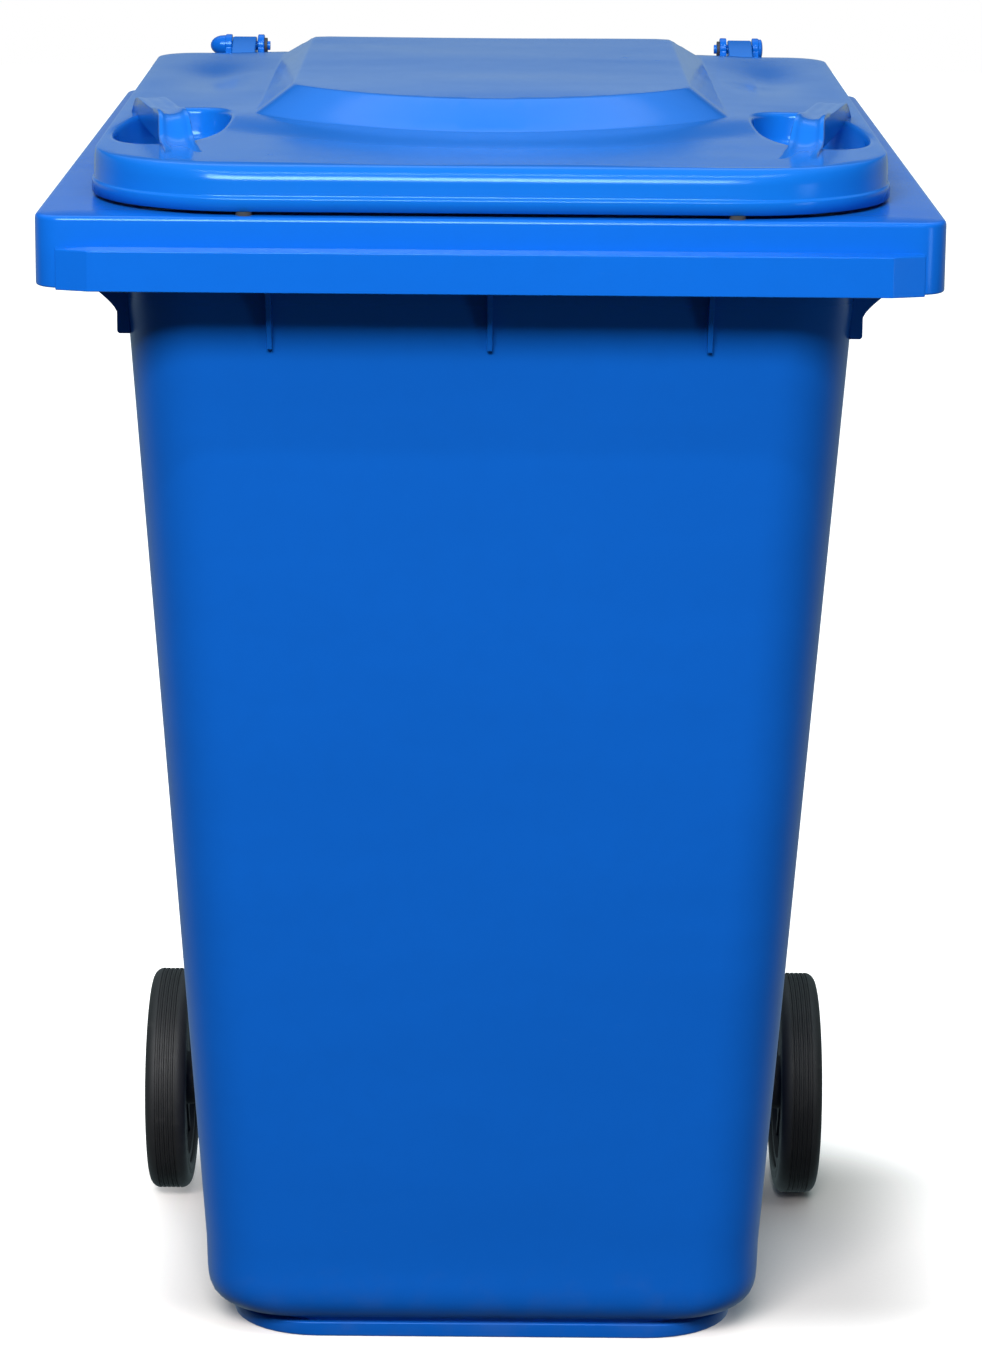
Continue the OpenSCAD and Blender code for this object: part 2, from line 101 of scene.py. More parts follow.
class BinSizes(bpy.types.PropertyGroup):
    """Sizes of the mouldings, measured back from the bin's front and up from the ground."""

    rim_half: length("Rim half width", "Half the width of the rim", BODY_BOX[1].x)
    rim_height: length("Rim height", "Height of the rim's top at its front", 0.930)
    rim_back: length("Rim back", "Distance of the rim's back from the bin's front", 0.738)
    rim_slope: angle("Rim slope", "Rise of the rim to the back", 4.66)
    wall: length("Wall", "Wall thickness of the body", 0.004)
    skirt_front: length("Skirt front", "How far the upper skirt stands behind the band", 0.012)
    skirt_height: length("Skirt height", "Height of the rim's outer skirt", 0.051)
    band_height: length("Band height", "Height of the proud band under the front skirt", 0.028)
    neck_half: length("Neck half width", "Half the width of the body under the rim", 0.272)
    neck_front: length("Neck front", "Distance of the body's front under the rim", 0.046)
    neck_back: length("Neck back", "Distance of the body's back under the rim", 0.696)
    neck_radius: length("Neck radius", "Vertical corner radius under the rim", 0.058)
    base_half: length("Base half width", "Half the width of the body at its base", 0.2265)
    base_front: length("Base front", "Distance of the body's front at its base", 0.230)
    base_back: length("Base back", "Distance of the body's back at its base", 0.608)
    base_radius: length("Base radius", "Vertical corner radius at the base", 0.056)
    base_turn: length("Base turn", "Height at which the walls turn in to the foot", 0.019)
    lid_half: length("Lid half width", "Half the width of the lid", LID_BOX[1].x)
    lid_front: length("Lid front", "Distance of the lid's front edge", 0.020)
    lid_back: length("Lid back", "Distance of the lid's back edge", 0.728)
    lid_gap: length("Lid gap", "Gap between the rim and the lid's skirt", 0.003)
    lid_height: length("Lid height", "Height of the lid's flat top above the rim", 0.0350)
    lid_wall: length("Lid wall", "Wall thickness of the lid", 0.003)
    lid_spread_front: length("Lid spread, front", "Extra half width of the lid at its front", 0.004)
    lid_spread_back: length("Lid spread, back", "Extra half width of the lid at its back", 0.008)
    dome_half: length("Dome half width", "Half the width of the dome at its foot", 0.184)
    dome_front: length("Dome front", "Distance of the dome's foot at its front", 0.180)
    dome_back: length("Dome back", "Distance of the dome's foot at its back", 0.699)
    dome_bow: length("Dome bow", "Radius of the bowed front of the dome's foot", 0.215)
    dome_rise: length("Dome rise", "Height of the dome above its foot", 0.0205)
    pocket_x: length("Pocket place", "Distance of the finger pockets from the centre", 0.2400)
    pocket_y: length("Pocket distance", "Distance of the pockets' middles", 0.233)
    pocket_half_width: length("Pocket half width", "Half the width of a finger pocket", 0.0362)
    pocket_half_length: length("Pocket half length", "Half the length of a finger pocket", 0.100)
    hinge_x: length("Hinge place", "Distance of each hinge from the centre", 0.223)
    bar_radius: length("Bar radius", "Radius of the rear handle bar", 0.011)
    bar_drop: length("Bar drop", "Drop of the handle bar below the hinge", 0.0185)


class BinFinishes(bpy.types.PropertyGroup):
    """Colours of the finishes."""

    body_blue: colour("Body blue", "Colour of the body moulding", (0.0036, 0.108, 0.515))
    lid_blue: colour("Lid blue", "Colour of the lid moulding", (0.0040, 0.118, 0.500))
    black_plastic: colour("Black plastic", "Colour of the hubs, caps and clips", (0.012, 0.012, 0.014))
    rubber: colour("Rubber", "Colour of the tyres", (0.013, 0.013, 0.014))
    buffer_rubber: colour("Buffer rubber", "Colour of the lid's buffers", (0.003, 0.003, 0.0035))
    steel: colour("Steel", "Colour of the plated steel", (0.55, 0.56, 0.58))
    nylon: colour("Nylon", "Colour of the hub bushes", (0.72, 0.70, 0.64))


class BinStudio(bpy.types.PropertyGroup):
    """Camera and lights."""

    camera_distance: length("Camera distance", "Distance of the camera in front of the bin", 2.62064)
    camera_height: length("Camera height", "Height of the camera", 1.13141)
    camera_pitch: angle("Camera pitch", "How far the camera looks down", 11.47)
    camera_yaw: angle("Camera yaw", "How far the camera turns right", 0.064)
    camera_roll: angle("Camera roll", "How far the camera leans left", 0.48)
    camera_lens: FloatProperty(name="Camera lens", description="Focal length", default=97.72, unit="CAMERA")
    floor_half: length("Floor half width", "Half the width of the floor", 30.0)
    light_strength: FloatProperty(
        name="Light strength", description="Scales every lamp", default=1.0, min=0, max=4
    )
    grain_seed: IntProperty(name="Grain seed", description="Shifts the wear pattern", default=3)


# ---------------------------------------------------------------- shader maths


class Wire:
    """A socket whose arithmetic adds the Math nodes that work it out."""

    def __init__(self, tree, socket):
        self.tree = tree
        self.socket = socket

    def maths(self, operation, *values):
        return self.tree.add("ShaderNodeMath", {"operation": operation}, dict(enumerate(values)))

    def __add__(self, other):
        return self.maths("ADD", self, other)

    __radd__ = __add__

    def __sub__(self, other):
        return self.maths("SUBTRACT", self, other)

    def __rsub__(self, other):
        return self.maths("SUBTRACT", other, self)

    def __mul__(self, other):
        return self.maths("MULTIPLY", self, other)

    __rmul__ = __mul__

    def clamp(self):
        return self.tree.add("ShaderNodeClamp", {}, {"Value": self})

    def step(self, low, high):
        """0 below low, 1 above high and smooth between them."""
        return self.tree.add(
            "ShaderNodeMapRange", {"interpolation_type": "SMOOTHSTEP"},
            {"Value": self, "From Min": low, "From Max": high},
        )


class Graph:
    """A node tree whose nodes are added one by one."""

    def __init__(self, tree):
        self.nodes = tree.nodes
        self.links = tree.links

    def add(self, kind, settings, values, output=0):
        """One node of this kind: its settings first, then the values or wires of its sockets."""
        node = self.nodes.new(kind)
        for key, value in settings.items():
            setattr(node, key, value)
        self.feed(node, values)
        return Wire(self, node.outputs[output])

    def feed(self, node, values):
        for key, value in values.items():
            if isinstance(value, Wire):
                self.links.new(value.socket, node.inputs[key])
            else:
                node.inputs[key].default_value = value

    def part(self, place, axis):
        return self.add("ShaderNodeSeparateXYZ", {}, {"Vector": place}, axis)


class Finish(Graph):
    """A material and the nodes of its surface."""

    def __init__(self, name):
        self.material = bpy.data.materials.new(name)
        self.material.use_nodes = True
        super().__init__(self.material.node_tree)
        self.shader = self.nodes["Principled BSDF"]

    def surface(self, **values):
        """Sets the shader's sockets; an underscore in a name stands for a space."""
        self.feed(self.shader, {key.replace("_", " "): value for key, value in values.items()})
        return self.material

    def place(self):
        return self.add("ShaderNodeTexCoord", {}, {}, "Object")

    def noise(self, place, scale, detail=2.0, rough=0.5):
        return self.add(
            "ShaderNodeTexNoise", {"noise_dimensions": "3D"},
            {"Vector": place, "Scale": scale, "Detail": detail, "Roughness": rough}, "Fac",
        )

    def stretched(self, place, scale):
        return self.add("ShaderNodeMapping", {"vector_type": "POINT"}, {"Vector": place, "Scale": scale})

    def mix(self, amount, first, second):
        return self.add("ShaderNodeMix", {"data_type": "RGBA"}, {0: amount, 6: first, 7: second}, 2)

    def bump(self, height, strength, distance, normal=None):
        values = {"Height": height, "Strength": strength, "Distance": distance}
        if normal is not None:
            values["Normal"] = normal
        return self.add("ShaderNodeBump", {}, values)


def tinted(rgb, factor):
    return (*(min(1.0, c * factor) for c in rgb), 1.0)


def moulded_blue(name, rgb, rough, wave, seed):
    """Satin polyethylene: fine grain, faint flow marks, scuffs and a little dust low down."""
    f = Finish(name)
    place = f.place()
    shifted = f.add("ShaderNodeVectorMath", {"operation": "ADD"}, {0: place, 1: (seed, 2.0 * seed, 0.0)})
    flow = f.noise(f.stretched(shifted, (3.0, 3.0, 9.0)), 1.0, 3.0)
    mottle = f.noise(shifted, 55.0, 3.0, 0.6)
    grain = f.noise(shifted, 1500.0, 2.0, 0.6)
    scuff = f.noise(f.stretched(shifted, (60.0, 60.0, 500.0)), 1.0, 4.0, 0.7).step(0.66, 0.74)
    worn = f.noise(shifted, 7.0, 3.0).step(0.52, 0.68) * scuff
    height = f.part(place, "Z")
    low = 1.0 - height.step(0.02, 0.16)
    dust = (low * f.noise(shifted, 26.0, 4.0, 0.65)).step(0.38, 0.78)
    shade = f.mix(flow, tinted(rgb, 0.93), tinted(rgb, 1.06))
    shade = f.mix(mottle.step(0.35, 0.75) * 0.35, shade, tinted(rgb, 0.94))
    shade = f.mix(worn * 0.16, shade, (0.10, 0.22, 0.52, 1.0))
    shade = f.mix(dust * 0.10, shade, (0.13, 0.15, 0.20, 1.0))
    swell = f.noise(f.stretched(shifted, (4.0, 9.0, 14.0)), 1.0, 1.0)
    normal = f.bump(flow * 0.5 + swell, wave, 0.010)
    normal = f.bump(grain * 0.7 + mottle * 0.3, 0.06, 0.0005, normal)
    matt = 1.0 - height.step(0.855, 0.875)
    roughness = rough + matt * 0.16 + grain * 0.04 + mottle * 0.04 + worn * 0.15 + dust * 0.15
    return f.surface(
        Base_Color=shade, Roughness=roughness, Normal=normal, Specular_IOR_Level=0.36,
        Specular_Tint=(0.34, 0.62, 1.0, 1.0),
    )


def rubber_finish(name, rgb):
    """Solid tyre rubber: dusty mottling, fine pits and a matt bloom on the tread."""
    f = Finish(name)
    place = f.place()
    mottle = f.noise(place, 90.0, 4.0, 0.6)
    pits = f.noise(place, 900.0, 2.0, 0.6)
    bloom = f.noise(place, 14.0, 3.0).step(0.35, 0.75)
    shade = f.mix(bloom * 0.5, tinted(rgb, 1.0), tinted(rgb, 2.2))
    shade = f.mix(mottle.step(0.55, 0.8) * 0.4, shade, (0.055, 0.053, 0.050, 1.0))
    normal = f.bump(mottle * 0.5 + pits * 0.5, 0.35, 0.0008)
    return f.surface(Base_Color=shade, Roughness=0.52 + mottle * 0.2, Normal=normal)


def black_finish(name, rgb, gloss=0.5):
    """Moulded black plastic or plain rubber with a light spark texture."""
    f = Finish(name)
    place = f.place()
    spark = f.noise(place, 1100.0, 2.0, 0.6)
    mottle = f.noise(place, 60.0, 3.0)
    shade = f.mix(mottle.step(0.4, 0.8) * 0.5, tinted(rgb, 1.0), tinted(rgb, 1.7))
    return f.surface(
        Base_Color=shade, Roughness=0.36 + mottle * 0.18, Normal=f.bump(spark, 0.25, 0.0005),
        Specular_IOR_Level=gloss,
    )


def steel_finish(name, rgb):
    """Zinc-plated steel with drawing marks along the bar."""
    f = Finish(name)
    place = f.place()
    drawn = f.noise(f.stretched(place, (12.0, 1400.0, 1400.0)), 1.0, 2.0)
    blotch = f.noise(place, 75.0, 3.0)
    shade = f.mix(blotch.step(0.35, 0.75), tinted(rgb, 0.72), tinted(rgb, 1.08))
    return f.surface(
        Base_Color=shade, Roughness=0.26 + drawn * 0.16 + blotch * 0.12, Metallic=1.0,
        Normal=f.bump(drawn, 0.12, 0.0003),
    )


def nylon_finish(name, rgb):
    """Turned natural nylon."""
    f = Finish(name)
    place = f.place()
    cloud = f.noise(place, 120.0, 3.0)
    shade = f.mix(cloud, tinted(rgb, 0.9), tinted(rgb, 1.06))
    return f.surface(
        Base_Color=shade, Roughness=0.38 + cloud * 0.12, Normal=f.bump(cloud, 0.1, 0.0004),
        Subsurface_Weight=0.15,
    )


def paper_finish(name):
    """Matt white studio floor with painted light: it glows more and more away from the bin, so shadows show
    only near the bin and the floor lightens into the backdrop.
    """
    f = Finish(name)
    place = f.place()
    fibre = f.noise(place, 240.0, 3.0)
    across = f.part(place, "X")
    along = f.part(place, "Y")
    # painted light: emission that rises away from the bin, by different amounts to each side, whitens the
    # floor and hides the shadows there
    away = across.step(0.30, 0.55) + (across * -1.0).step(0.20, 0.40)
    away = away + along.step(0.24, 0.48) + (along * -1.0).step(0.05, 0.25)
    shade = f.mix(fibre, (0.720, 0.655, 0.625, 1.0), (0.750, 0.685, 0.650, 1.0))
    glow = f.mix(away.clamp(), (0.0, 0.0, 0.0, 1.0), (1.0, 1.0, 1.0, 1.0))
    return f.surface(
        Base_Color=shade, Roughness=0.92, Specular_IOR_Level=0.15, Emission_Color=glow,
        Emission_Strength=1.0,
    )


def backdrop_finish(name):
    """Evenly lit white paper behind everything."""
    f = Finish(name)
    return f.surface(
        Base_Color=(0, 0, 0, 1), Emission_Color=(1, 1, 1, 1), Emission_Strength=1.0,
        Specular_IOR_Level=0.0,
    )


def finish(name):
    """The named material, made once from the colours of the scene's finishes."""
    if name in bpy.data.materials:
        return bpy.data.materials[name]
    colours = getattr(bpy.context.scene, FINISHES)
    seed = getattr(bpy.context.scene, STUDIO).grain_seed
    makers = {
        "body_blue": (moulded_blue, colours.body_blue, 0.16, 0.10, seed),
        "lid_blue": (moulded_blue, colours.lid_blue, 0.13, 0.13, seed + 5),
        "black_plastic": (black_finish, colours.black_plastic),
        "rubber": (rubber_finish, colours.rubber),
        "buffer_rubber": (black_finish, colours.buffer_rubber, 0.0),
        "steel": (steel_finish, colours.steel),
        "nylon": (nylon_finish, colours.nylon),
        "paper": (paper_finish,),
        "backdrop": (backdrop_finish,),
    }
    maker, *values = makers[name]
    return maker(name, *values)


# ---------------------------------------------------------------- shapes


def mix(a, b, t):
    return a + (b - a) * t


def smoothstep(low, high, value):
    t = min(1.0, max(0.0, (value - low) / (high - low)))
    return t * t * (3.0 - 2.0 * t)


def arc(centre, degrees, across, up=None):
    """Points round centre at these angles: on a circle or, with up, on an ellipse."""
    up = across if up is None else up
    turns = [math.radians(d) for d in degrees]
    return [(centre[0] + across * math.cos(a), centre[1] + up * math.sin(a)) for a in turns]


def spot(x, distance, height):
    """The point at a distance behind the bin's front."""
    return Vector((x, FRONT + distance, height))


class Station:
    """One level of a moulding: a rounded outline lying in a plane that may rise to the back."""

    def __init__(self, *values):
        self.values = values

    def mixed(self, other, t):
        return Station(*(mix(a, b, t) for a, b in zip(self.values, other.values)))

    def apart(self, other):
        half, front, back, _, _, height, _ = (abs(a - b) for a, b in zip(self.values, other.values))
        return math.hypot(max(half, front, back), height)

    def lifted(self, point):
        height, rise = self.values[5:]
        return spot(*point, height + rise * point[1])

    def outline(self, corner, side):
        """Points seen from above, anticlockwise from the end of the front edge."""
        half, front, back, rf, rb = self.values[:5]
        bends = (
            (half - rf, front + rf, rf, -90), (half - rb, back - rb, rb, 0),
            (rb - half, back - rb, rb, 90), (rf - half, front + rf, rf, 180),
        )
        arcs = [
            arc((cx, cy), (start + 90 * i / corner for i in range(corner + 1)), r)
            for cx, cy, r, start in bends
        ]
        points = []
        for bend, after in zip(arcs, arcs[1:] + arcs[:1]):
            points += bend
            (x0, y0), (x1, y1) = bend[-1], after[0]
            points += [(mix(x0, x1, i / side), mix(y0, y1, i / side)) for i in range(1, side)]
        return points

    def ring(self, corner=10, side=6):
        return [self.lifted(p) for p in self.outline(corner, side)]


def soften(stations, radii, steps=4):
    """The same stations with each inner corner rounded by its radius."""
    soft = [stations[0]]
    for before, here, after, radius in zip(stations, stations[1:], stations[2:], radii):
        if not radius:
            soft.append(here)
            continue
        start = here.mixed(before, min(0.48, radius / here.apart(before)))
        end = here.mixed(after, min(0.48, radius / here.apart(after)))
        for i in range(steps + 1):
            t = i / steps
            soft.append(start.mixed(here, t).mixed(here.mixed(end, t), t))
    return soft + [stations[-1]]


def loft(bm, rings, close_first=False, close_last=False):
    """Joins rings of equal length with quads, and closes the ends that are asked for."""
    rows = [[bm.verts.new(p) for p in ring] for ring in rings]
    for low, high in zip(rows, rows[1:]):
        for i in range(len(low)):
            j = (i + 1) % len(low)
            bm.faces.new((low[i], low[j], high[j], high[i]))
    if close_first:
        bm.faces.new(rows[0][::-1])
    if close_last:
        bm.faces.new(rows[-1])


def prism(bm, profile, start, depth):
    """A closed prism: a flat profile of points pushed along depth from start."""
    loft(bm, [[start + p for p in profile], [start + p + depth for p in profile]], True, True)


def slab(bm, profile, x, thick):
    """A prism from x to x + thick whose profile is (distance behind the front, height) points."""
    prism(bm, [Vector((0, y, z)) for y, z in profile], Vector((x, FRONT, 0)), Vector((thick, 0, 0)))


def tube(bm, start, end, radius, segments=48, edge=0.001):
    """A round bar with softened ends."""
    axis = (end - start).normalized()
    side = axis.orthogonal().normalized()
    up = axis.cross(side)
    span = (end - start).length
    steps = [(0, radius - edge), (edge * 0.3, radius - edge * 0.3), (edge, radius)]
    steps += [(span - edge, radius), (span - edge * 0.3, radius - edge * 0.3), (span, radius - edge)]
    turns = [2 * math.pi * i / segments for i in range(segments)]
    loft(
        bm,
        [[start + axis * d + (side * math.cos(a) + up * math.sin(a)) * r for a in turns] for d, r in steps],
        True, True,
    )


def lathe(bm, profile, centre, segments=128):
    """Turns (place along X, radius) points round an axis along X through centre."""
    turns = [2 * math.pi * i / segments for i in range(segments)]
    rings = [
        [centre + Vector((x, r * math.cos(a), r * math.sin(a))) for a in turns] for x, r in profile
    ]
    loft(bm, rings + rings[:1])


def placed(name, data):
    """A new object in the scene."""
    obj = bpy.data.objects.new(name, data)
    bpy.context.scene.collection.objects.link(obj)
    return obj


def solid(name, bm, material):
    """The mesh as a new object of one material."""
    mesh = bpy.data.meshes.new(name)
    bm.to_mesh(mesh)
    bm.free()
    mesh.materials.append(finish(material))
    return placed(name, mesh)


def piece(name, bm, material, body, nodes, crease, bevel=0.0):
    """Turns the mesh into a piece on a body; edges past the crease angle are sharp or bevelled."""
    bmesh.ops.remove_doubles(bm, verts=bm.verts, dist=1e-6)
    bmesh.ops.recalc_face_normals(bm, faces=bm.faces)
    obj = solid(name, bm, material)
    mesh = obj.data
    for polygon in mesh.polygons:
        polygon.use_smooth = True
    if bevel:
        edge = obj.modifiers.new("Edge", "BEVEL")
        edge.width = bevel
        edge.segments = 3
        edge.limit_method = "ANGLE"
        edge.angle_limit = math.radians(crease)
        edge.harden_normals = True
    else:
        mesh.set_sharp_from_angle(angle=math.radians(crease))
    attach(obj, body)
    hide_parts(*nodes)
    return obj


def sizes():
    return getattr(bpy.context.scene, SIZES)


def rise():
    return math.tan(sizes().rim_slope)


def rim_at(distance):
    """Height of the rim's top at a distance behind the bin's front."""
    return sizes().rim_height + distance * rise()


def mirrored(bm):
    """Adds the mirror image of everything in the mesh across the centre plane."""
    copy = bmesh.ops.duplicate(bm, geom=bm.verts[:] + bm.edges[:] + bm.faces[:])["geom"]
    verts = [v for v in copy if isinstance(v, bmesh.types.BMVert)]
    for v in verts:
        v.co.x = -v.co.x
    bmesh.ops.reverse_faces(bm, faces=[f for f in copy if isinstance(f, bmesh.types.BMFace)])


# ---------------------------------------------------------------- body


TURN_INSET = 0.013  # how far in the walls are at the base turn; corners grow rounder below it
RIM_RADIUS = 0.020


def base_station(s, inset, height):
    radius = s.base_radius + max(0.0, inset - TURN_INSET) * 2.0
    return Station(
        s.base_half - inset, s.base_front + inset, s.base_back - inset, radius, radius, height, 0.0
    )


def neck_station(s, inset, above):
    radius = s.neck_radius - inset
    return Station(
        s.neck_half - inset, s.neck_front + inset, s.neck_back - inset, radius, radius,
        s.rim_height + above, rise(),
    )


def rim_station(s, inset, above):
    radius = max(0.002, RIM_RADIUS - inset)
    return Station(
        s.rim_half - inset, s.skirt_front + inset, s.rim_back - inset, radius, radius,
        s.rim_height + above, rise(),
    )


WALL_FOOT = 0.04


def wall_share(s, height, distance):
    """0 at the foot of the straight walls and 1 at the neck, at a distance from the front."""
    return (height - WALL_FOOT) / (rim_at(distance) - s.wall - WALL_FOOT)


def wall_front(s, height):
    """Distance of the front wall's outer face at a height."""
    return mix(s.base_front, s.neck_front, wall_share(s, height, s.neck_front))


def wall_side(s, height, distance):
    """Half the width of the body at a height, at a distance from the front."""
    return mix(s.base_half, s.neck_half, wall_share(s, height, distance))


def wall_back(s, height, x):
    """Distance of the back wall's outer face at a height and distance from the centre."""
    flat = mix(s.base_back, s.neck_back, wall_share(s, height, s.neck_back))
    bend = max(0.0, x - (wall_side(s, height, s.base_back) - s.base_radius))
    return flat - s.base_radius + math.sqrt(max(0.0, s.base_radius**2 - bend**2))


class BIN_OT_body_shell(bpy.types.Operator):
    """Build the tapered body with its foot ring, rim and skirt"""

    bl_idname = "bin.body_shell"
    bl_label = "Body shell"

    def execute(self, context):
        s = sizes()
        foot = 0.020  # how far in from the walls the foot ring stands
        stations = [
            base_station(s, foot + 0.005, 0.0),
            base_station(s, foot, 0.0),
            base_station(s, foot - 0.001, 0.0125),
            base_station(s, foot + 0.004, 0.0135),
            base_station(s, foot + 0.004, s.base_turn - 0.002),
            base_station(s, TURN_INSET, s.base_turn),
            base_station(s, 0.0, s.base_turn + 0.016),
            base_station(s, 0.0, 0.06).mixed(neck_station(s, 0.0, -s.wall), 0.02),
            neck_station(s, 0.0, -s.wall),
            rim_station(s, s.wall, -s.wall),
            rim_station(s, s.wall, -s.skirt_height),
            rim_station(s, 0.0, -s.skirt_height),
            rim_station(s, 0.0, 0.0),
            rim_station(s, 0.030, 0.0),
            neck_station(s, s.wall, 0.0),
            base_station(s, s.wall, 0.06).mixed(neck_station(s, s.wall, 0.0), 0.02),
            base_station(s, s.wall + 0.004, s.base_turn + 0.012),
            base_station(s, foot + 0.008, 0.006),
        ]
        radii = [
            0.002, 0.0015, 0.001, 0.001, 0.007, 0.018, 0.0, 0.008, 0.004, 0.0012, 0.0015,
            0.0036, 0.0, 0.003, 0.0, 0.010,
        ]
        bm = bmesh.new()
        loft(bm, [station.ring() for station in soften(stations, radii)], True, True)
        piece("body_shell", bm, "body_blue", "body", ["body"], 40.0)
        return {"FINISHED"}


HAIR = 0.0002  # keeps two faces of the body from lying in one plane


class BIN_OT_front_band(bpy.types.Operator):
    """Build the proud band along the foot of the front skirt, with slanted ends and ledge"""

    bl_idname = "bin.front_band"
    bl_label = "Front band"

    def plan(self, s, inset, deep):
        """Seen from above: a straight front between two slanted ends."""
        front_end = s.rim_half - 0.040 - inset
        end = front_end + 0.024
        half = [(front_end, inset), (end, s.skirt_front + inset - HAIR), (end, deep)]
        return [(-x, y) for x, y in reversed(half)] + half

    def execute(self, context):
        s = sizes()
        low = s.rim_height - s.skirt_height
        edge = 0.0026
        ledge = low + s.band_height + edge
        deep = s.skirt_front + s.wall * 0.5
        bm = bmesh.new()
        levels = [(s.wall, ledge - 0.006), (s.wall, low - HAIR), (0.0, low - HAIR), (0.0, ledge - 0.0022)]
        rings = [[spot(x, y, z) for x, y in self.plan(s, inset, deep)] for inset, z in levels]
        rings += [
            [spot(x * 0.998, max(y, s.skirt_front - HAIR), ledge) for x, y in self.plan(s, 0.0, deep)]
        ]
        loft(bm, rings, True, True)
        piece("front_band", bm, "body_blue", "body", ["body"], 9.0, edge)
        return {"FINISHED"}


class BIN_OT_rim_ribs(bpy.types.Operator):
    """Build the upright ribs and the scooped corner brackets under the rim"""

    bl_idname = "bin.rim_ribs"
    bl_label = "Ribs and brackets"

    def execute(self, context):
        s = sizes()
        foot = s.rim_height - s.skirt_height - 0.047
        top = s.rim_height - s.wall * 0.5
        tip = s.wall * 0.8  # how far the tip stands behind the bin's front
        tip_low = foot + 0.057
        buried = s.wall * 0.5
        bm = bmesh.new()
        profile = [
            (s.skirt_front + buried, top), (s.skirt_front + buried, tip_low + 0.016),
            (tip, tip_low + 0.014), (tip, tip_low),
        ]
        profile += [
            (mix(tip, wall_front(s, foot) - 0.004, t**0.6), mix(tip_low, foot, t**1.9))
            for t in (0.2, 0.4, 0.6, 0.8, 1.0)
        ]
        profile += [(wall_front(s, foot) + buried, foot), (wall_front(s, top) + buried, top)]
        for x in (-0.160, 0.0, 0.160):
            slab(bm, profile, x - s.wall / 2, s.wall)
        piece("rim_ribs", bm, "body_blue", "body", ["body"], 30.0, 0.0006)
        bm = bmesh.new()
        for distance in (s.neck_front + s.neck_radius + 0.006, s.neck_back - s.neck_radius - 0.006):
            rim = rim_at(distance)
            skirt = rim - s.skirt_height
            low = skirt - 0.050
            foot_width = 0.008
            root = wall_side(s, low, distance) + foot_width
            points = [(root - foot_width - buried, low), (root - 0.0015, low), (root, low + 0.0015)]
            points += [
                (root + 0.042 * t**1.35, mix(low + 0.016, skirt, t)) for t in (i / 10 for i in range(11))
            ]
            points += [
                (s.rim_half - buried, skirt + 0.014), (s.rim_half - buried, rim - buried),
                (wall_side(s, rim, distance) - buried, rim - buried),
            ]
            prism(
                bm, [Vector((x, 0, z)) for x, z in points], spot(0, distance - s.wall / 2, 0),
                Vector((0, s.wall, 0)),
            )
        mirrored(bm)
        piece("rim_brackets", bm, "body_blue", "body", ["body"], 30.0, 0.0006)
        return {"FINISHED"}


EAR_RADIUS = 0.010
EAR_WALL = 0.006
EAR_GAP = 0.001  # between an ear and the knuckle beside it
KNUCKLE_WIDTH = 0.021
KNUCKLE_RADIUS = 0.008


def hinge_place():
    """The hinge axis: distance behind the bin's front, and height."""
    return HINGE["pos_m"][1] - FRONT, HINGE["pos_m"][2]


class BIN_OT_handle(bpy.types.Operator):
    """Build the hinge ears and the rear handle bar between them"""

    bl_idname = "bin.handle"
    bl_label = "Hinge ears and handle"

    def execute(self, context):
        s = sizes()
        far, high = hinge_place()
        back, foot = s.rim_back - s.wall / 2, high - 0.080
        bar = high - s.bar_drop
        profile = [(back, foot), (s.rim_back + 0.002, foot), (far + 0.004, bar - s.bar_radius + 0.001)]
        profile += arc((far, bar), (-60, -40, -20, 0), s.bar_radius - 0.001, s.bar_radius)
        profile += arc((far, high), range(0, 200, 12), EAR_RADIUS)
        profile += [(back, rim_at(s.rim_back) - 0.004)]
        bm = bmesh.new()
        reach = KNUCKLE_WIDTH / 2 + EAR_GAP
        for x in (s.hinge_x - reach - EAR_WALL, s.hinge_x + reach):
            slab(bm, profile, x, EAR_WALL)
        mirrored(bm)
        piece("hinge_ears", bm, "body_blue", "body", ["body"], 35.0, 0.0010)
        bm = bmesh.new()
        end = s.hinge_x - reach - EAR_WALL + 0.001
        tube(bm, spot(-end, far, bar), spot(end, far, bar), s.bar_radius)
        piece("handle_bar", bm, "body_blue", "body", ["body"], 50.0)
        return {"FINISHED"}


class BIN_OT_axle_lugs(bpy.types.Operator):
    """Build the lugs down the back that carry the axle"""

    bl_idname = "bin.axle_lugs"
    bl_label = "Axle lugs"

    def execute(self, context):
        s = sizes()
        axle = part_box("axle")
        centre = (axle[0] + axle[1]) / 2
        middle, high = centre.y - FRONT, centre.z
        radius, width = 0.017, 0.014
        up, down = high + 0.070, high - 0.055
        bm = bmesh.new()
        for x in (s.base_half - 0.019, 0.063):
            profile = [(wall_back(s, up, x) - s.wall / 2, up)]
            profile += arc((middle, high), range(60, -61, -10), radius)
            profile += [(wall_back(s, down, x) - s.wall / 2, down)]
            slab(bm, profile[::-1], x, width)
        mirrored(bm)
        piece("axle_lugs", bm, "body_blue", "body", ["body"], 35.0, 0.0012)
        return {"FINISHED"}


# ---------------------------------------------------------------- lid


LID_FRONT_RADIUS = 0.108
LID_BACK_RADIUS = 0.046


def lid_station(s, inset, side_inset, above):
    return Station(
        s.lid_half - side_inset, s.lid_front + inset, s.lid_back - inset,
        LID_FRONT_RADIUS - inset, LID_BACK_RADIUS - inset, s.rim_height + above, rise(),
    )


DOME_RUN = {"front": 0.034, "side": 0.029, "back": 0.050}
DOME_LOOPS = (-0.055, -0.02, 0.02, 0.055, 0.5, 0.945, 0.98, 1.02, 1.055)  # dense at the ramp's bends


def soft_least(values, softness=0.25):
    """The least of some numbers, rounded where two are near each other."""
    least = values[0]
    for value in values[1:]:
        near = max(softness - abs(least - value), 0.0) / softness
        least = min(least, value) - near * near * softness * 0.25
    return least


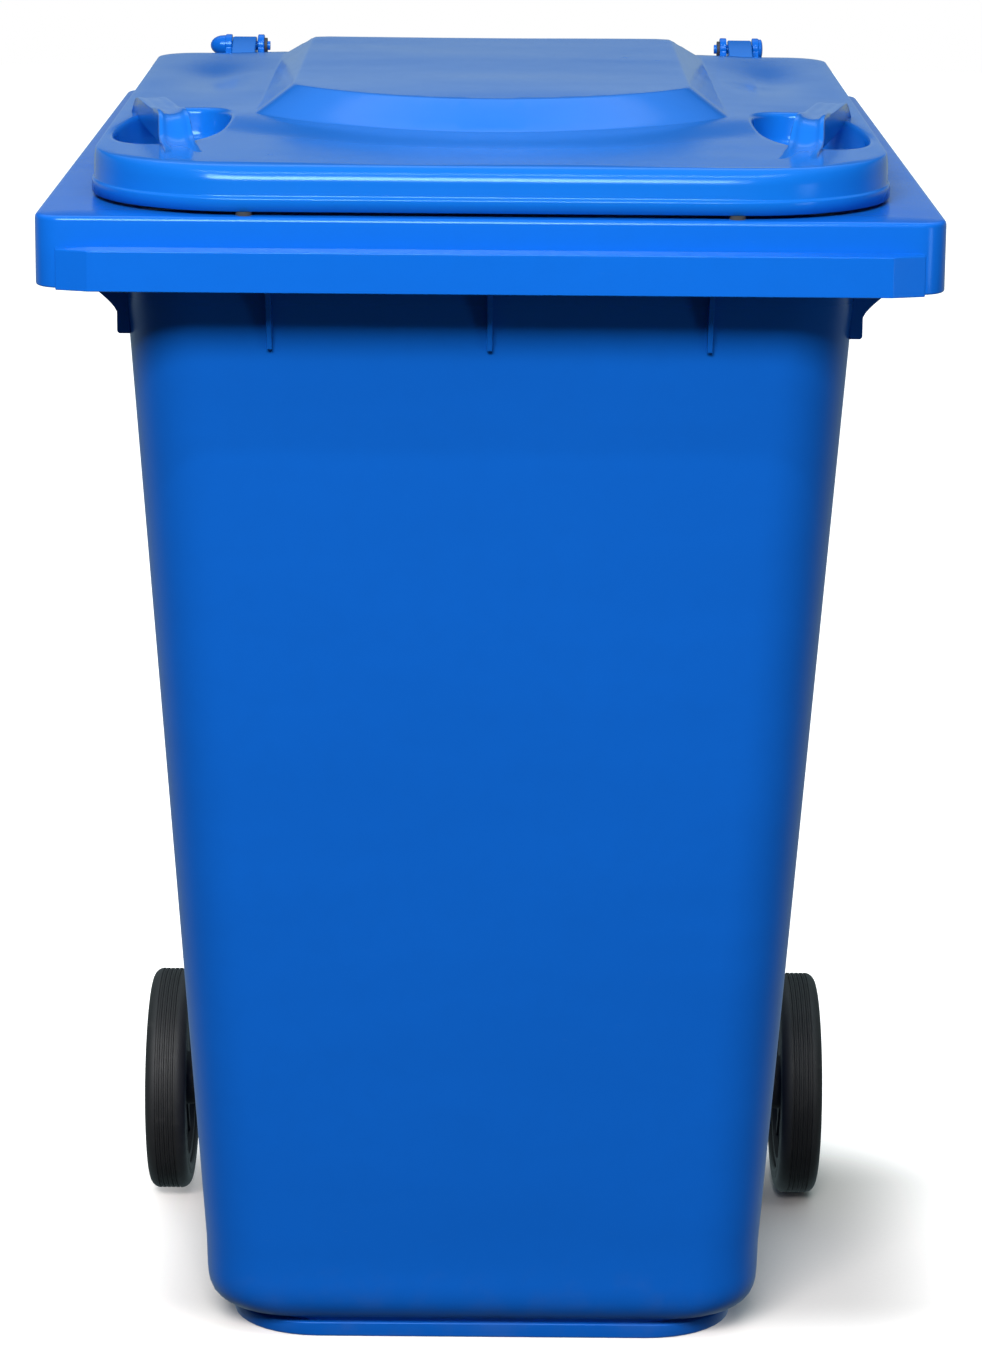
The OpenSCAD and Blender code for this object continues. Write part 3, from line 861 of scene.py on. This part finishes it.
def dome_share(s, x, distance):
    """0 at the dome's foot and 1 at the edge of its top."""
    centre = s.dome_front + s.dome_bow
    shares = [(s.dome_half - abs(x)) / DOME_RUN["side"], (s.dome_back - distance) / DOME_RUN["back"]]
    if distance < centre:
        shares.append((s.dome_bow - math.hypot(x, distance - centre)) / DOME_RUN["front"])
    return soft_least(shares)


def ramp(share, bend=0.055):
    """A straight ramp from 0 to 1 whose two corners are rounded."""
    if share <= -bend:
        return 0.0
    if share < bend:
        return (share + bend) ** 2 / (4 * bend)
    if share < 1 - bend:
        return share
    if share < 1 + bend:
        return 1 - (1 + bend - share) ** 2 / (4 * bend)
    return 1.0


def lid_top(s, x, distance):
    """Height of the lid's top surface above the ground."""
    share = dome_share(s, x, distance)
    height = s.lid_height + s.dome_rise * ramp(share)
    height += 0.0010 * smoothstep(1.0, 5.0, share)
    outside = -share * DOME_RUN["front"]
    plinth = 1.0 - smoothstep(0.0, 0.062, outside)
    height += 0.0035 * plinth * mix(1.0, 0.5, smoothstep(0.25, 0.40, distance))
    edge = smoothstep(0.0, 0.05, min(s.lid_half - abs(x), s.lid_back - distance) - 0.014)
    hollow = math.exp(-(((abs(x) - 0.236) / 0.034) ** 2) - ((distance - 0.560) / 0.085) ** 2)
    height -= 0.0060 * hollow * edge
    height += 0.0007 * noise.noise(Vector((x * 7, distance * 5, 0.3))) * edge
    return rim_at(distance) + height


def dome_loop(s, share, step=0.006):
    """Points round the dome where dome_share is this share."""
    half = s.dome_half - DOME_RUN["side"] * share
    bow = s.dome_bow - DOME_RUN["front"] * share
    back = s.dome_back - DOME_RUN["back"] * share
    centre = s.dome_front + s.dome_bow
    reach = math.asin(min(1.0, half / bow))
    count = max(6, int(2 * reach * bow / step))
    arc = [
        (bow * math.sin(a), centre - bow * math.cos(a))
        for a in (-reach + 2 * reach * i / count for i in range(count + 1))
    ]
    start = arc[-1][1]
    sides = max(4, int((back - start) / (2 * step)))
    up = [(half, mix(start, back, i / sides)) for i in range(1, sides + 1)]
    across = max(4, int(half / step))
    over = [(half * (1 - 2 * i / across), back) for i in range(1, across)]
    down = [(-x, y) for x, y in reversed(up)]
    return arc + up + over + down


def pocket_loop(s, side, grow, count=72):
    """Outline of a finger pocket, grown outward, whose front leans away from the centre."""
    lean = side * math.radians(6.0)
    points = []
    for i in range(count):
        a = 2 * math.pi * i / count
        u = (s.pocket_half_width + grow) * math.copysign(abs(math.cos(a)) ** 0.86, math.cos(a))
        v = (s.pocket_half_length + grow) * math.copysign(abs(math.sin(a)) ** 0.86, math.sin(a))
        points.append((
            side * s.pocket_x + u * math.cos(lean) - v * math.sin(lean),
            s.pocket_y + u * math.sin(lean) + v * math.cos(lean),
        ))
    return points


def inside(point, loop):
    """True if a point lies within a closed loop of points."""
    x, y = point
    found = False
    for (x0, y0), (x1, y1) in zip(loop, loop[1:] + loop[:1]):
        if (y0 > y) != (y1 > y) and x < (x1 - x0) * (y - y0) / (y1 - y0) + x0:
            found = not found
    return found


LIP = 0.0045


def lid_field(bm, s, edge_loop, inner_loop):
    """The lid's top surface between its shoulder and the two pockets, filled within the inner loop."""
    holes = [pocket_loop(s, side, LIP) for side in (-1, 1)]
    loops = [edge_loop] + holes
    loops += [dome_loop(s, share) for share in DOME_LOOPS]
    points, edges = [], []
    for loop in loops:
        start = len(points)
        points += loop
        edges += [(start + i, start + (i + 1) % len(loop)) for i in range(len(loop))]
    tree = KDTree(len(points))
    for i, (x, y) in enumerate(points):
        tree.insert((x, y, 0), i)
    tree.balance()
    for side in (-1, 1):
        for at in pocket_loop(s, side, LIP + 0.004):
            if tree.find((*at, 0))[2] > 0.002 and inside(at, inner_loop):
                points.append(at)
    step = 0.0085
    columns, rows = int(2 * s.lid_half / step), int((s.lid_back - s.lid_front) / step)
    for i in range(columns):
        for j in range(rows):
            at = (step * (i + 0.5) - s.lid_half, s.lid_front + step * (j + 0.5))
            if tree.find((*at, 0))[2] > 0.0035 and inside(at, inner_loop):
                points.append(at)
    flat, _, faces, *_ = delaunay_2d_cdt([Vector(p) for p in points], edges, [], 0, 1e-7)
    verts = [bm.verts.new(spot(p.x, p.y, lid_top(s, p.x, p.y))) for p in flat]
    for face in faces:
        middle = sum((flat[i] for i in face), Vector((0, 0))) / len(face)
        if inside(middle, edge_loop) and not any(inside(middle, hole) for hole in holes):
            bm.faces.new([verts[i] for i in face])


def pocket_rings(s, side):
    """Rings from the lid's surface over the pocket's lip, down its wall and across its floor."""
    rim_loop = pocket_loop(s, side, LIP)
    top = [lid_top(s, x, y) for x, y in rim_loop]
    rings = []
    for grow, drop in arc((LIP, LIP), range(270, 179, -18), LIP):
        loop = pocket_loop(s, side, grow)
        rings.append([spot(x, y, z - drop) for (x, y), z in zip(loop, top)])
    floor = s.lid_gap + 0.005
    for grow, above in (
        (-0.0015, 0.010), (-0.0030, 0.004), (-0.0060, 0.0012), (-0.0100, 0.0002), (-0.020, 0.0),
        (-0.032, 0.0),
    ):
        loop = pocket_loop(s, side, grow)
        rings.append([spot(x, y, rim_at(y) + floor + above) for x, y in loop])
    return rings


class BIN_OT_lid_shell(bpy.types.Operator):
    """Build the lid: skirt, shoulder, dome and the two finger pockets"""

    bl_idname = "bin.lid_shell"
    bl_label = "Lid shell"

    def execute(self, context):
        s = sizes()
        shoulder = lid_station(s, 0.015, 0.0045, s.lid_height)
        edge_loop = shoulder.outline(12, 22)
        inner_loop = lid_station(s, 0.0185, 0.0070, s.lid_height).outline(12, 22)
        bm = bmesh.new()
        lid_field(bm, s, edge_loop, inner_loop)
        for side in (-1, 1):
            loft(bm, pocket_rings(s, side)[::-1], True)
        stations = [
            lid_station(s, 0.0, 0.0, s.lid_gap),
            lid_station(s, 0.0, 0.0, s.lid_gap + 0.0092),
            lid_station(s, 0.0026, 0.0014, s.lid_gap + 0.0102),
            lid_station(s, 0.0038, 0.0018, s.lid_height - 0.0090),
            lid_station(s, 0.0068, 0.0022, s.lid_height - 0.0032),
            lid_station(s, 0.0110, 0.0030, s.lid_height - 0.0004),
            shoulder,
        ]
        radii = [0.0010, 0.0008, 0.0030, 0.0030, 0.0020]
        rings = [station.ring(12, 22) for station in soften(stations, radii)]
        rings[-1] = [spot(x, y, lid_top(s, x, y)) for x, y in edge_loop]
        loft(bm, rings)
        bmesh.ops.remove_doubles(bm, verts=bm.verts, dist=2e-5)
        for v in bm.verts:
            share = (v.co.y - FRONT) / s.lid_back
            spread = mix(s.lid_spread_front, s.lid_spread_back, share)
            v.co.x += math.copysign(spread * smoothstep(0.19, s.lid_half, abs(v.co.x)), v.co.x)
        lid = piece("lid_shell", bm, "lid_blue", "lid", ["lid"], 50.0)
        shell = lid.modifiers.new("Wall", "SOLIDIFY")
        shell.thickness = s.lid_wall
        shell.offset = -1.0
        return {"FINISHED"}


STRAP_LEAN = math.radians(12.0)
STRAP_SHIFT = 0.0138
STRAP_HALF = 0.0105
STRAP_SOLE = 0.0328  # height above the rim where the underside stops, within the lid's wall


def strap_path():
    """(distance towards the front, height above the rim) along a strap, from its root forward."""
    corners = [
        (-0.090, 0.0325), (-0.080, 0.0365), (-0.068, 0.0435), (-0.056, 0.0485), (-0.046, 0.0502),
        (-0.030, 0.0508), (0.010, 0.0520), (0.050, 0.0534), (0.074, 0.0546), (0.086, 0.0543),
        (0.0935, 0.0505), (0.0985, 0.0445), (0.1030, 0.0395), (0.1095, 0.0365), (0.1200, 0.0350),
        (0.1480, 0.0347), (0.1680, 0.0338),
    ]
    path = [Vector(c) for c in corners]
    for _ in range(2):
        finer = [path[0]]
        for a, b in zip(path, path[1:]):
            finer += [a.lerp(b, 0.25), a.lerp(b, 0.75)]
        path = finer + [path[-1]]
    return path


class BIN_OT_lid_straps(bpy.types.Operator):
    """Build the straps that bridge the finger pockets, with a bead along each edge"""

    bl_idname = "bin.lid_straps"
    bl_label = "Lid straps"

    def section(self, forward, high):
        """Across the strap: (sideways, along its normal), beads taller over the crest and face."""
        crest = smoothstep(0.030, 0.075, forward) * (1 - smoothstep(0.125, 0.158, forward))
        half = STRAP_HALF
        bead = mix(0.0004, 0.0026, crest)
        bridge = min(0.0220, max(0.0014, high - STRAP_SOLE))
        thick = mix(bridge, 0.0060, smoothstep(0.080, 0.096, forward))
        thick = mix(thick, 0.0014, smoothstep(0.100, 0.114, forward))
        top = [
            (half, -0.0012), (half + 0.0006, bead * 0.5), (half + 0.0001, bead), (half - 0.0016, bead * 1.08),
            (half - 0.0032, bead * 0.7), (half - 0.0046, bead * 0.12), (half - 0.0065, -0.0002),
            (half * 0.20, -0.0008 * crest),
        ]
        mirror = [(-x, z) for x, z in reversed(top)]
        return [(half - 0.001, -thick)] + top + mirror + [(0.001 - half, -thick)]

    def execute(self, context):
        s = sizes()
        path = strap_path()
        bm = bmesh.new()
        along = Vector((-math.sin(STRAP_LEAN), -math.cos(STRAP_LEAN), 0))
        across = Vector((math.cos(STRAP_LEAN), -math.sin(STRAP_LEAN), 0))
        rings = []
        for i, at in enumerate(path):
            before, after = path[max(0, i - 1)], path[min(len(path) - 1, i + 1)]
            slope = (after - before).normalized()
            normal = Vector((-slope.y, slope.x))
            flare = 1.0 + 0.16 * smoothstep(0.085, 0.105, at.x) + 0.15 * smoothstep(0.135, 0.165, at.x)
            ring = []
            for side, out in self.section(at.x, at.y):
                flat = along * (at.x + normal.x * out) + across * side * flare
                distance = s.pocket_y + flat.y
                height = rim_at(distance) + at.y + normal.y * out
                ring.append(spot(s.pocket_x + STRAP_SHIFT + flat.x, distance, height))
            rings.append(ring)
        loft(bm, rings, True, True)
        mirrored(bm)
        piece("lid_straps", bm, "lid_blue", "lid", ["lid"], 40.0)
        return {"FINISHED"}


class BIN_OT_lid_knuckles(bpy.types.Operator):
    """Build the arms at the back of the lid and the knuckles that turn on the hinge pins"""

    bl_idname = "bin.lid_knuckles"
    bl_label = "Lid knuckles"

    def execute(self, context):
        s = sizes()
        far, high = hinge_place()
        root = s.lid_back - 0.004
        base = rim_at(s.lid_back)
        profile = [(root, base + s.lid_gap + 0.003), (far - 0.003, high - KNUCKLE_RADIUS + 0.0004)]
        profile += arc((far, high), range(-80, 101, 12), KNUCKLE_RADIUS)
        profile += [(far - 0.010, high + KNUCKLE_RADIUS), (root, base + s.lid_height - 0.010)]
        bm = bmesh.new()
        slab(bm, profile, s.hinge_x - KNUCKLE_WIDTH / 2, KNUCKLE_WIDTH)
        mirrored(bm)
        piece("lid_knuckles", bm, "lid_blue", "lid", ["lid"], 35.0, 0.0012)
        return {"FINISHED"}


# ---------------------------------------------------------------- wheels and small parts


HUB_RADIUS = 0.0781  # where the tyre sits on its hub


class BIN_OT_tyres(bpy.types.Operator):
    """Build the rubber tyres with rounded shoulders, tread grooves and sidewall rings"""

    bl_idname = "bin.tyres"
    bl_label = "Tyres"

    def profile(self, width, outer, inner):
        """(place across the tread, radius) once round the section."""
        shoulder = 0.0090
        side = [(0.0015, inner), (0.0, inner + 0.0015)]
        for ring in (inner + 0.005, inner + 0.008):
            side += [(0.0, ring - 0.0008), (0.0, ring), (0.0007, ring + 0.0004), (0.0, ring + 0.0012)]
        side += arc((shoulder, outer - shoulder), range(180, 89, -9), shoulder)
        grooves = 9
        pitch = (width - 2 * shoulder) / grooves
        tread = []
        for i in range(grooves):
            x = shoulder + pitch * (i + 0.5)
            deep, half = ((0.0014, 0.0007), (0.0006, 0.0004))[i % 2]
            tread += [(x - half * 1.6, outer), (x - half, outer - deep)]
            tread += [(x + half, outer - deep), (x + half * 1.6, outer)]
        return side + tread + [(width - x, r) for x, r in reversed(side)]

    def execute(self, context):
        for name, body in (("left", "wheel_left"), ("right", "wheel_right")):
            low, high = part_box(f"tyre_{name}")
            centre = Vector((low.x, (low.y + high.y) / 2, (low.z + high.z) / 2))
            outer = (high.z - low.z) / 2
            bm = bmesh.new()
            lathe(bm, self.profile(high.x - low.x, outer, HUB_RADIUS), centre)
            tyre = piece(f"tyre_{name}_rubber", bm, "rubber", body, [f"tyre_{name}"], 40.0)
        return {"FINISHED"}


class BIN_OT_finishes(bpy.types.Operator):
    """Give the hubs, axle, pins and other CAD parts their materials"""

    bl_idname = "bin.finishes"
    bl_label = "Finishes"

    NODE_FINISHES = {
        "hinge_pin": "body_blue", "hinge_clip": "black_plastic", "lid_buffers": "buffer_rubber",
        "axle_spacer": "black_plastic", "axle": "steel", "wheel_hub": "black_plastic",
        "hub_bush": "nylon", "latch_pin": "steel", "latch_spring": "steel", "hub_cap": "black_plastic",
    }

    def execute(self, context):
        for name, node in frame["nodes"].items():
            kind = name.removesuffix("_left").removesuffix("_right")
            if kind not in self.NODE_FINISHES:
                continue
            for part in (node, *node.children_recursive):
                for slot in part.material_slots:
                    slot.material = finish(self.NODE_FINISHES[kind])
        return {"FINISHED"}


# ---------------------------------------------------------------- studio


def softbox(name, place, target, size, power):
    lamp = bpy.data.lights.new(name, "AREA")
    lamp.shape = "RECTANGLE"
    lamp.size, lamp.size_y = size
    lamp.energy = power * getattr(bpy.context.scene, STUDIO).light_strength
    obj = placed(name, lamp)
    obj.location = place
    obj.rotation_euler = (Vector(target) - obj.location).to_track_quat("-Z", "Y").to_euler()


class BIN_OT_studio(bpy.types.Operator):
    """Set up the floor, the backdrop, the soft lights and the camera"""

    bl_idname = "bin.studio"
    bl_label = "Studio"

    def sheet(self, name, bm, material):
        """A stage object that the camera sees and that throws no light back."""
        obj = solid(name, bm, material)
        obj.visible_diffuse = False
        obj.visible_glossy = False
        return obj

    def sky(self):
        """Soft light: strong overhead, weak near the ground, with a pale band low behind the bin."""
        world = bpy.data.worlds.new("studio")
        world.use_nodes = True
        graph = Graph(world.node_tree)
        place = graph.add("ShaderNodeTexCoord", {}, {}, "Generated")
        behind = graph.part(place, "Y")
        high = graph.part(place, "Z")
        band = behind.step(0.1, 0.6) * 0.42 * (1.0 - high.step(0.20, 0.34))
        overhead = 0.07 + high.step(0.36, 0.92) * 0.79
        tint = (0.70, 0.94, 1.0, 1.0)
        graph.feed(graph.nodes["Background"], {"Color": tint, "Strength": band + overhead})
        bpy.context.scene.world = world

    def camera(self, studio):
        data = bpy.data.cameras.new("camera")
        data.sensor_width = 36
        data.lens = studio.camera_lens
        camera = placed("camera", data)
        turn = Matrix.Rotation(-studio.camera_yaw, 4, "Z")
        tilt = Matrix.Rotation(math.pi / 2 - studio.camera_pitch, 4, "X")
        roll = Matrix.Rotation(studio.camera_roll, 4, "Z")
        place = Matrix.Translation((0, FRONT - studio.camera_distance, studio.camera_height))
        camera.matrix_world = place @ turn @ tilt @ roll
        bpy.context.scene.camera = camera

    def execute(self, context):
        studio = getattr(context.scene, STUDIO)
        context.scene.view_settings.view_transform = "Standard"
        half = studio.floor_half
        bm = bmesh.new()
        corners = [(-half, -half), (half, -half), (half, half), (-half, half)]
        bm.faces.new([bm.verts.new((x, y, 0)) for x, y in corners])
        self.sheet("floor", bm, "paper")
        bm = bmesh.new()
        bmesh.ops.create_icosphere(bm, subdivisions=4, radius=half * 0.95)
        dome = self.sheet("backdrop", bm, "backdrop")
        dome.visible_shadow = False
        dome.visible_transmission = False
        self.sky()
        softbox("key", (-0.55, -3.3, 2.7), (0, 0, 0.7), (1.9, 0.9), 186)
        softbox("strip", (0, -2.0, 3.3), (0, -0.3, 0.9), (3.0, 0.08), 26)
        softbox("low_right", (2.3, -2.2, 0.8), (0.3, 0.2, 0.2), (0.6, 0.9), 7)
        softbox("top", (0, 0.9, 3.2), (0, 0.1, 0.9), (2.6, 0.8), 7)
        self.camera(studio)
        return {"FINISHED"}


# ---------------------------------------------------------------- add-on


OPERATORS = (
    BIN_OT_body_shell, BIN_OT_front_band, BIN_OT_rim_ribs, BIN_OT_handle, BIN_OT_axle_lugs,
    BIN_OT_lid_shell, BIN_OT_lid_straps, BIN_OT_lid_knuckles, BIN_OT_tyres, BIN_OT_finishes,
    BIN_OT_studio,
)


class BIN_PT_sidebar(bpy.types.Panel):
    """Lists the sizes, the finishes and one button for each piece"""

    bl_idname = "BIN_PT_sidebar"
    bl_label = "Wheelie Bin"
    bl_space_type = "VIEW_3D"
    bl_region_type = "UI"
    bl_category = "Wheelie Bin"

    def draw(self, context):
        for title, name in (("Sizes", SIZES), ("Finishes", FINISHES), ("Studio", STUDIO)):
            box = self.layout.box()
            box.label(text=title)
            group = getattr(context.scene, name)
            for key in group.__annotations__:
                box.prop(group, key)
        column = self.layout.column()
        for operator in OPERATORS:
            column.operator(operator.bl_idname)


CLASSES = (BinSizes, BinFinishes, BinStudio, *OPERATORS, BIN_PT_sidebar)


def register():
    for cls in CLASSES:
        bpy.utils.register_class(cls)
    bpy.types.Scene.bin_sizes = PointerProperty(type=BinSizes)
    bpy.types.Scene.bin_finishes = PointerProperty(type=BinFinishes)
    bpy.types.Scene.bin_studio = PointerProperty(type=BinStudio)


def unregister():
    del bpy.types.Scene.bin_studio
    del bpy.types.Scene.bin_finishes
    del bpy.types.Scene.bin_sizes
    for cls in reversed(CLASSES):
        bpy.utils.unregister_class(cls)


def main():
    register()
    for operator in OPERATORS:
        group, name = operator.bl_idname.split(".")
        getattr(getattr(bpy.ops, group), name)()


if __name__ == "__main__":
    main()
